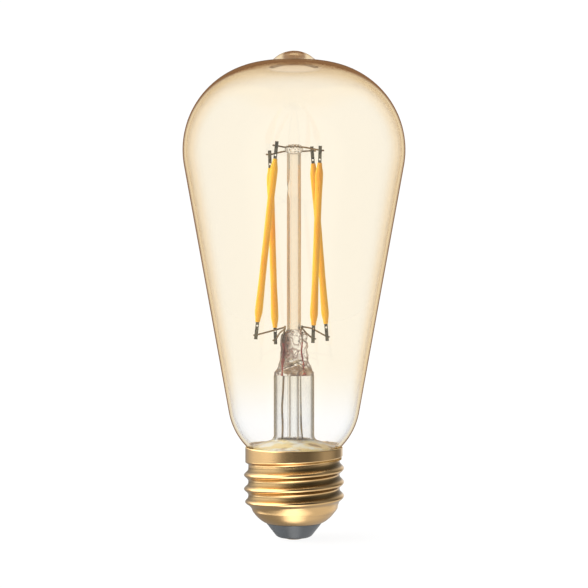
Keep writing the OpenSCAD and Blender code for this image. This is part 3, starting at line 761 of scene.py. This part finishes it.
class BULB_OT_leads(bpy.types.Operator):
    """Leads through the stem: nickel below, red copper in the seal, nickel above"""
    bl_idname = "bulb.leads"
    bl_label = "Leads"

    def execute(self, context):
        g, m, c = sizes()
        cos, sin = math.cos(g.blade_turn), math.sin(g.blade_turn)
        grey = metal_finish("lead wire", tuple(c.nickel), linear(70, 64, 52), 0.35)
        red = metal_finish("seal copper", tuple(c.copper), linear(120, 34, 22), 0.45, metallic=0.35)
        seal_top, foot = 51.5 * MM, g.pinch_z
        for side, reach, sign, below, tip in (
                ("left", 3.4 * MM, -1, [(-3.3, -0.75, 17.2), (-3.3, -0.75, 18.6), (-3.1, -2.4, 20.6),
                                        (-2.96, -2.3, 25), (-2.84, -2.32, 30), (-2.98, -2.2, 34.5),
                                        (-2.78, -2.28, 38.5)], (-2.3, -2, 55.9)),
                ("right", 2.2 * MM, 1, [(3.4, 0.75, 16.6), (3.4, 0.75, 18.4), (3, 2.4, 21), (2.4, 2.1, 25),
                                        (1.95, 1.9, 30), (1.78, 1.75, 36)], (2.2, 1.7, 55.9))):
            at = Vector((sign * reach * cos, sign * reach * sin, 0))
            path = flowing([mm(*p) for p in below] + [at + Vector((0, 0, foot))])
            add_piece(f"outer_lead_{side}_wire", Solid().drawn(path, m.lead_r), grey,
                      [f"outer_lead_{side}"])
            path = flowing([at + Vector((0, 0, foot)), at + mm(0.12 * sign, 0.1, 0) + Vector((0, 0, foot + 3 * MM)),
                            at + mm(-0.1 * sign, 0, 0) + Vector((0, 0, foot + 6 * MM)),
                            at + Vector((0, 0, seal_top))])
            add_piece(f"seal_lead_{side}_wire", Solid().drawn(path, m.lead_r), red,
                      [f"seal_lead_{side}"])
            path = flowing([at + Vector((0, 0, seal_top)), at + Vector((0, 0, g.column_z - 1.0 * MM)), mm(*tip)])
            add_piece(f"inner_lead_{side}_wire", Solid().drawn(path, m.lead_r), grey,
                      [f"inner_lead_{side}"])
        return {"FINISHED"}


HEADS = [(-4.9, -5.2), (-6.3, 2.3), (6.7, -2.3), (5.1, 5.2)]
FEET = [(-9.5, -2), (-5.1, 8.4), (5, -8.4), (8.5, 5)]
MIDDLES = [78.1, 76.4, 77.3, 77.6]


def on_filament(m, n, s):
    """The point at height s above the lower end of filament n's coating, and the way up it."""
    head, foot = Vector(HEADS[n]) * MM, Vector(FEET[n]) * MM
    lean = head - foot
    rise = math.sqrt(m.coat_l ** 2 - lean.length_squared)
    way = Vector((lean.x, lean.y, rise)) / m.coat_l
    return Vector((foot.x, foot.y, MIDDLES[n] * MM - rise / 2)) + s * way, way


class BULB_OT_supports(bpy.types.Operator):
    """Wires that carry the filaments"""
    bl_idname = "bulb.supports"
    bl_label = "Support wires"

    def execute(self, context):
        g, m, c = sizes()
        wire = metal_finish("support wire", tuple(c.nickel), linear(92, 70, 42), 0.28)
        grip = 3.5 * MM
        behind = Vector((0, m.tab_t / 2 + m.wire_r, 0))
        middle = g.column_top + g.button_h / 2
        edge = g.button_r + 0.2 * MM
        for name, left, right, y, z in (("front", 0, 2, -1, 0.45), ("back", 1, 3, 1, -0.45)):
            a = on_filament(m, left, m.coat_l + grip)[0] + behind
            b = on_filament(m, right, m.coat_l + grip)[0] + behind
            bar = [Vector((x, y * MM, middle + z * MM)) for x in (-edge, edge)]
            path = bent([a + mm(-1, 0, 0.1), a, bar[0], bar[1], b, b + mm(1, 0, -0.1)], 6)
            add_piece(f"upper_wire_{name}_drawn", Solid().drawn(path, m.wire_r, 10), wire,
                      [f"upper_wire_{name}"])
        starts = [(-2.3, -2, 55.6), (-2.3, -1.6, 55.2), (2.2, 1.2, 55.2), (2.2, 1.7, 55.6)]
        bends = [(-4.4, -2.2, 55), (-3.8, 2.6, 54), (3.2, -3, 54), (4.6, 2.6, 55.3)]
        for n in range(4):
            hold = on_filament(m, n, -grip)[0] + behind
            out = 0.7 * mm(math.copysign(1, bends[n][0]), 0, -0.1)
            path = bent([mm(*starts[n]), mm(*bends[n]), hold, hold + out], 24)
            add_piece(f"lower_wire_{n + 1}_drawn", Solid().drawn(path, m.wire_r, 10), wire,
                      [f"lower_wire_{n + 1}"])
        return {"FINISHED"}


class BULB_OT_filaments(bpy.types.Operator):
    """Four filaments: coating, ceramic strip, chips and end tabs"""
    bl_idname = "bulb.filaments"
    bl_label = "Filaments"

    def execute(self, context):
        g, m, c = sizes()
        coat = coating_finish(c)
        steps = 90
        for n in range(4):
            solid = Solid()
            rings = []
            foot, way = on_filament(m, n, 0)
            side = way.orthogonal().normalized()
            up = way.cross(side)
            for i in range(steps + 1):
                s = m.coat_l * (0.5 - 0.5 * math.cos(math.pi * i / steps))
                end = min(s, m.coat_l - s) / MM
                swell = blend(m.coat_end_r, m.coat_r, smooth((end - 3) / 9))
                r = blend(0.62 * MM, swell, smooth(end / 3))
                ring = []
                for k in range(28):
                    a = 2 * math.pi * k / 28
                    out = math.cos(a) * side + math.sin(a) * up
                    p = foot + way * s + out * r
                    wave = noise.noise(p * 260 + Vector((n * 9.1, 0, 0))) * 0.035
                    ring.append(p + out * r * wave)
                rings.append(solid.ring(ring))
            for low, high in zip(rings, rings[1:]):
                solid.wall(low, high)
            for ring, s in ((rings[0], -0.12 * MM), (rings[-1], m.coat_l + 0.12 * MM)):
                pole = solid.ring([foot + way * s])
                solid.wall(*((pole, ring) if s < 0 else (ring, pole)))
            add_piece(f"filament_coating_{n + 1}_soft", solid, coat, [f"filament_coating_{n + 1}"], 0)
        groups = [f"_{n}" for n in range(1, 5)]
        paint([f"filament_strip{n}" for n in groups],
              matt_finish("filament ceramic", linear(238, 236, 228), linear(226, 222, 210), 0.5))
        paint([f"filament_chips{n}" for n in groups],
              matt_finish("light chips", linear(220, 226, 170), linear(190, 200, 130), 0.3, coat=0.5))
        tab = metal_finish("tab steel", linear(104, 98, 78), linear(62, 58, 44), 0.42, 1600.0, 0.3)
        paint([f"filament_{end}_tab{n}" for n in groups for end in ("top", "foot")], tab, 0.05 * MM)
        return {"FINISHED"}


THREAD_SHARPNESS = 1.5
FOOT_FULLNESS = 1.3


class BULB_OT_screw_shell(bpy.types.Operator):
    """Brass shell with its rolled thread and smooth collar"""
    bl_idname = "bulb.screw_shell"
    bl_label = "Screw shell"

    def outer(self, m, a, z):
        """Radius of the shell's outside at turn a in degrees and height z, and the painted shade over its roots and
        upward flanks.
        """
        around = a % 360
        left = np.where(around < 180, 1 - smooth(around / 180), 0.0)
        edge = m.collar_edge_z + m.pitch / 2 * np.where(around < 180, 1 - smooth(around / 180), (around - 180) / 180)
        turns = (z - m.crest_z) / m.pitch - around / 360
        wave = 2 * ((1 + np.cos(2 * math.pi * turns)) / 2) ** THREAD_SHARPNESS - 1
        wave = np.where(turns < 0.5, wave, np.where(turns < 1.5, blend(-1, wave, left), -1))
        w = np.clip((m.foot_top_z - z) / (m.foot_top_z - m.foot_z), 0, 1)
        foot = blend(m.foot_r, m.foot_wide_r, (1 - w ** FOOT_FULLNESS) ** (1 / FOOT_FULLNESS))
        threaded = (m.crest_r + m.root_r) / 2 + (m.crest_r - m.root_r) / 2 * wave
        body = blend(foot, threaded, smooth((z - 6.7 * MM) / (3.8 * MM)))
        on_collar = smooth((z - edge + 0.35 * MM) / (0.7 * MM))
        above = turns - np.round(turns)
        # Painted shade over the roots and the flanks that face up.
        shading = np.where(above > 0, smooth((above - 0.1) / 0.2), smooth((-0.36 - above) / 0.14))
        groove = np.where(turns < 1.5, shading, 1.0) * (1 - on_collar) * smooth((z - 9 * MM) / (1.5 * MM))
        return blend(body, m.collar_r, on_collar), groove

    def execute(self, context):
        g, m, c = sizes()
        columns, rows = 240, 150
        a = np.arange(columns) * 360 / columns
        lip = 0.2 * MM
        solid = Solid()
        rings = {0: [], 1: []}
        marks = []
        heights = [m.foot_z + (m.rim_z - m.foot_z) * (i / rows) ** 1.1 for i in range(rows + 1)]
        for skin in (0, 1):
            for z in heights:
                step = 0.05 * MM
                high, low = min(m.rim_z, z + step), max(m.foot_z, z - step)
                slope = (self.outer(m, a, high)[0] - self.outer(m, a, low)[0]) / (high - low)
                r, groove = self.outer(m, a, z)
                long = np.sqrt(1 + slope ** 2)
                over = max(0.0, 1 - (m.rim_z - z) / lip)
                inset = skin * m.sheet + (1 - 2 * skin) * lip * (1 - math.sqrt(max(0.0, 1 - over ** 2)))
                x, up = r - inset / long, z + inset * slope / long
                up = np.clip(up, m.foot_z, m.rim_z)
                turns = np.radians(a)
                ring = np.stack([x * np.cos(turns), x * np.sin(turns), up], 1)
                rings[skin].append(solid.ring(ring.tolist()))
                # The rim's painted highlight is carried as a negative mark.
                marks += (groove - over).tolist()
        for low, high in zip(rings[0], rings[0][1:]):
            solid.wall(low, high)
        for low, high in zip(rings[1], rings[1][1:]):
            solid.wall(high, low)
        solid.wall(rings[1][0], rings[0][0])
        solid.wall(rings[0][-1], rings[1][-1])
        solid.marks = marks
        add_piece("cap_shell_rolled", solid, brass_finish(c), ["cap_shell"], 60)
        return {"FINISHED"}


class BULB_OT_cap_end(bpy.types.Operator):
    """Insulator, centre contact, solder and cement"""
    bl_idname = "bulb.cap_end"
    bl_label = "Cap end"

    def execute(self, context):
        g, m, c = sizes()
        corner = arc((3.35, 2.4), 2, math.radians(-106), math.radians(-38.7), 14)
        outline = [*corner, *line(corner[-1], (7.35, 4.25), 14), (6.7, 4.9), (8, 5.4), (8, 6.2), (0.6, 6.2),
                   (0.6, 1.6), (0.95, 1.6), (0.95, 0.96), (2.8, 0.96)]
        solid = Solid().turned([(r * MM, z * MM) for r, z in outline], 96)
        dark = matt_finish("insulator glass", tuple(c.insulator), linear(84, 88, 92), 0.34, 260.0, 0.1, 0.25)
        add_piece("cap_insulator_moulded", solid, dark, ["cap_insulator"])
        paint(["centre_contact"], metal_finish("contact brass", tuple(c.brass), tuple(c.brass_shade_and_patch), 0.3))
        tin = metal_finish("solder tin", tuple(c.solder), linear(150, 150, 150), 0.35, 500.0, 0.3)
        paint(["contact_solder", "rim_solder"], tin)
        paint(["basing_cement"], matt_finish("basing cement", tuple(c.cement), linear(170, 124, 56), 0.7, 500.0, 0.6))
        return {"FINISHED"}


class BULB_OT_driver(bpy.types.Operator):
    """Driver and radio inside the cap"""
    bl_idname = "bulb.driver"
    bl_label = "Driver"

    def execute(self, context):
        g, m, c = sizes()
        board = matt_finish("board green", linear(24, 92, 54), linear(30, 110, 62), 0.4, 600.0, 0.15, 0.4)
        radio = matt_finish("radio board", linear(16, 70, 44), linear(20, 84, 52), 0.4, 600.0, 0.15, 0.4)
        black = matt_finish("moulded black", linear(30, 30, 32), linear(40, 40, 42), 0.55, 1500.0, 0.3)
        soft = 0.12 * MM
        paint(["driver_board"], board, 0.05 * MM)
        paint(["radio_board"], radio, 0.05 * MM)
        paint(["bridge_rectifier", "driver_chip", "radio_chip"], black, soft)
        paint(["storage_capacitor"], matt_finish("capacitor sleeve", linear(38, 58, 84), linear(46, 66, 94), 0.35, coat=0.3))
        paint(["choke"], matt_finish("ferrite", linear(62, 60, 58), linear(78, 74, 70), 0.6, 1200.0, 0.4))
        paint(["fuse_resistor"], matt_finish("resistor body", linear(206, 178, 132), linear(190, 160, 116), 0.5, coat=0.3))
        paint(["small_parts"], matt_finish("chip ceramic", linear(176, 144, 104), linear(150, 118, 80), 0.45), soft)
        paint(["radio_shield"], metal_finish("tinned can", linear(200, 202, 204), linear(170, 172, 174), 0.3), soft)
        paint(["antenna_wire"], metal_finish("gilt wire", linear(226, 184, 96), linear(190, 146, 66), 0.3))
        paint(["driver_sleeve"], matt_finish("sleeve paper", linear(238, 232, 214), linear(226, 216, 192), 0.7, 900.0, 0.5))
        paint(["shell_wire"], matt_finish("white cover", linear(236, 236, 232), linear(222, 222, 216), 0.4))
        paint(["contact_wire"], matt_finish("red cover", linear(178, 40, 34), linear(150, 32, 28), 0.4))
        return {"FINISHED"}


def band(f, x, y, stops):
    """Tones by direction round the bulb, in degrees from the front: minus to the left, plus to the right."""
    around = x.maths("ARCTAN2", x, 0 - y) / (2 * math.pi) + 0.5
    return f.node("ShaderNodeValToRGB", {"stops": [(0.5 + turned / 360, tone) for turned, tone in stops]}, {0: around})


def through_glass(f, x, y, steep):
    """What rays see that were reflected inside glass: darker to the sides when they crossed the stem."""
    gold, brown, peach = (0.88, 0.76, 0.56, 1), (0.27, 0.15, 0.08, 1), (0.93, 0.76, 0.54, 1)

    def ring(side):
        return band(f, x, y, [(-180, brown), (-163, brown), (-157, gold), (-148, gold), (-134, side), (-64, side),
                              (-46, 1.0), (46, 1.0), (64, side), (134, side), (148, gold), (157, gold), (164, brown),
                              (180, brown)])
    level = f.mix(f.path("Transmission Depth").rise(4, 5), ring(0.95), ring(0.3))
    return f.mix(steep, level, peach)


def studio_light():
    """White where it is seen or shines straight through; a lit studio in reflections and on surfaces."""
    f = Finish(bpy.data.worlds.new("studio"))
    way = f.node("ShaderNodeTexCoord", out="Generated")
    x, y, z = way.part("X"), way.part("Y"), way.part("Z")
    wall = band(f, x, y, [(-180, .6), (-158, .35), (-140, .5), (-110, .85), (-70, 1.0), (-55, .9), (-43, .65), (-28, .34),
                          (-14, .22), (0, .17), (35, .15), (59, .28), (76, .45), (95, .43), (119, .22), (140, .3),
                          (158, .9), (180, .8)])
    high = band(f, x, y, [(-180, .4), (-150, .4), (-126, 1.0), (-110, 3.6), (-46, 4.2), (-34, 1.5), (-20, .3),
                          (0, .09), (50, .1), (64, .2), (85, .28), (118, .16), (140, .4), (160, .9), (180, .6)])
    top = band(f, x, y, [(-180, .4), (-150, .6), (-116, 2.4), (-50, 2.8), (-34, 1.6), (-20, .3), (0, .09), (50, .1), (64, .22),
                         (85, .28), (118, .16), (140, .4), (160, .9), (180, .6)])
    low = band(f, x, y, [(-180, .3), (-130, .4), (-112, 2.2), (-46, 2.8), (-34, 4.0), (-5, 4.4), (6, 1.6), (16, .8),
                         (60, .72), (110, .85), (140, .9), (165, .5), (180, .35)])
    under = band(f, x, y, [(-180, .3), (-102, .35), (-80, .5), (-60, .75), (-40, 1.5), (-28, 2.2), (12, 2.3), (30, 1.7),
                           (48, 1.1), (60, .8), (110, .8), (180, .35)])
    shown = f.mix(z.rise(-0.24, -0.18), low, wall)
    shown = f.mix(z.rise(-0.07, -0.03), shown, high)
    shown = f.mix(z.rise(-0.6, -0.36), under, shown)
    shown = f.mix(z.rise(-1.0, -0.94), (2.2, 2.2, 2.2, 1), shown)
    shown = f.mix(z.rise(0.16, 0.34), shown, top)
    shown = f.mix(z.rise(0.9, 0.98), shown, (0.5, 0.5, 0.5, 1))
    shown = f.mix(f.path("Is Singular Ray"), shown, through_glass(f, x, y, z.rise(0.66, 0.86)))
    straight = f.path("Is Transmission Ray") * (1 - f.path("Glossy Depth").maths("MINIMUM", f.path("Glossy Depth"), 1.0))
    seen = f.path("Is Camera Ray").most(straight)
    tone = f.mix(seen, shown, (1.036, 1.036, 1.036, 1))
    return f.done(f.node("ShaderNodeBackground", {}, {"Color": tone, "Strength": 1.0}))


class BULB_OT_studio(bpy.types.Operator):
    """Floor, light and camera"""
    bl_idname = "bulb.studio"
    bl_label = "Studio"

    def execute(self, context):
        scene = context.scene
        s = scene.bulb_studio
        scene.world = studio_light()
        f = finish("pale floor")
        grain = f.noise(40.0, 3.0)
        matt = f.node("ShaderNodeBsdfDiffuse", {}, {"Color": (0.9, 0.9, 0.9, 1), "Normal": f.bump(grain, 0.02, 0.001)})
        glow = f.node("ShaderNodeEmission", {}, {"Color": (1, 1, 1, 1), "Strength": 1.085})
        plain = f.node("ShaderNodeMixShader", {}, {0: s.floor_glow, 1: matt, 2: glow})
        turned = f.path("Is Transmission Ray") * f.path("Glossy Depth").maths("MINIMUM", f.path("Glossy Depth"), 1.0)
        x, y = (f.place().part(axis) for axis in "XY")
        steep = 1 - ((x ** 2 + y ** 2) ** 0.5).rise(0.03, 0.08)
        behind = f.node("ShaderNodeEmission", {}, {"Color": through_glass(f, x, y, steep), "Strength": 1.0})
        f.done(f.node("ShaderNodeMixShader", {}, {0: turned, 1: plain, 2: behind}))
        solid = Solid().turned([(s.floor_r, 0.0), (s.floor_r * 0.1, 0.0), (0, 0.0)], 96, closed=False)
        mesh = bpy.data.meshes.new("pale_floor")
        mesh.from_pydata([tuple(p) for p in solid.points], [], solid.faces)
        mesh.materials.append(f.owner)
        floor = bpy.data.objects.new("pale_floor", mesh)
        floor.visible_glossy = False
        scene.collection.objects.link(floor)
        eye = bpy.data.objects.new("camera", bpy.data.cameras.new("camera"))
        eye.data.lens, eye.data.sensor_width = s.lens, 36
        eye.data.clip_start, eye.data.clip_end = 0.01, 20
        eye.location = (0, -s.distance, s.eye_z)
        eye.rotation_euler = (math.pi / 2, 0, 0)
        scene.collection.objects.link(eye)
        scene.camera = eye
        scene.view_settings.view_transform = "Standard"
        scene.view_settings.look = "None"
        scene.cycles.max_bounces = scene.cycles.transmission_bounces = s.bounces
        scene.cycles.transparent_max_bounces = s.bounces
        scene.cycles.glossy_bounces = 12
        return {"FINISHED"}


OPERATORS = (BULB_OT_envelope, BULB_OT_stem, BULB_OT_leads, BULB_OT_supports, BULB_OT_filaments,
             BULB_OT_screw_shell, BULB_OT_cap_end, BULB_OT_driver, BULB_OT_studio)


class BULB_PT_pieces(bpy.types.Panel):
    """Lists the operators that build the bulb"""
    bl_label = "Filament bulb"
    bl_idname = "BULB_PT_pieces"
    bl_space_type = "VIEW_3D"
    bl_region_type = "UI"
    bl_category = "Bulb"

    def draw(self, context):
        for operator in OPERATORS:
            self.layout.operator(operator.bl_idname)


GROUPS = {"bulb_glass": BulbGlass, "bulb_metal": BulbMetal, "bulb_colours": BulbColours, "bulb_studio": BulbStudio}


def register():
    for made in (*GROUPS.values(), *OPERATORS, BULB_PT_pieces):
        bpy.utils.register_class(made)
    for name, group in GROUPS.items():
        setattr(bpy.types.Scene, name, PointerProperty(type=group))


def unregister():
    for name in GROUPS:
        delattr(bpy.types.Scene, name)
    for made in (BULB_PT_pieces, *reversed(OPERATORS), *reversed(GROUPS.values())):
        bpy.utils.unregister_class(made)


def main():
    register()
    for operator in OPERATORS:
        group, name = operator.bl_idname.split(".")
        getattr(getattr(bpy.ops, group), name)()


if __name__ == "__main__":
    main()
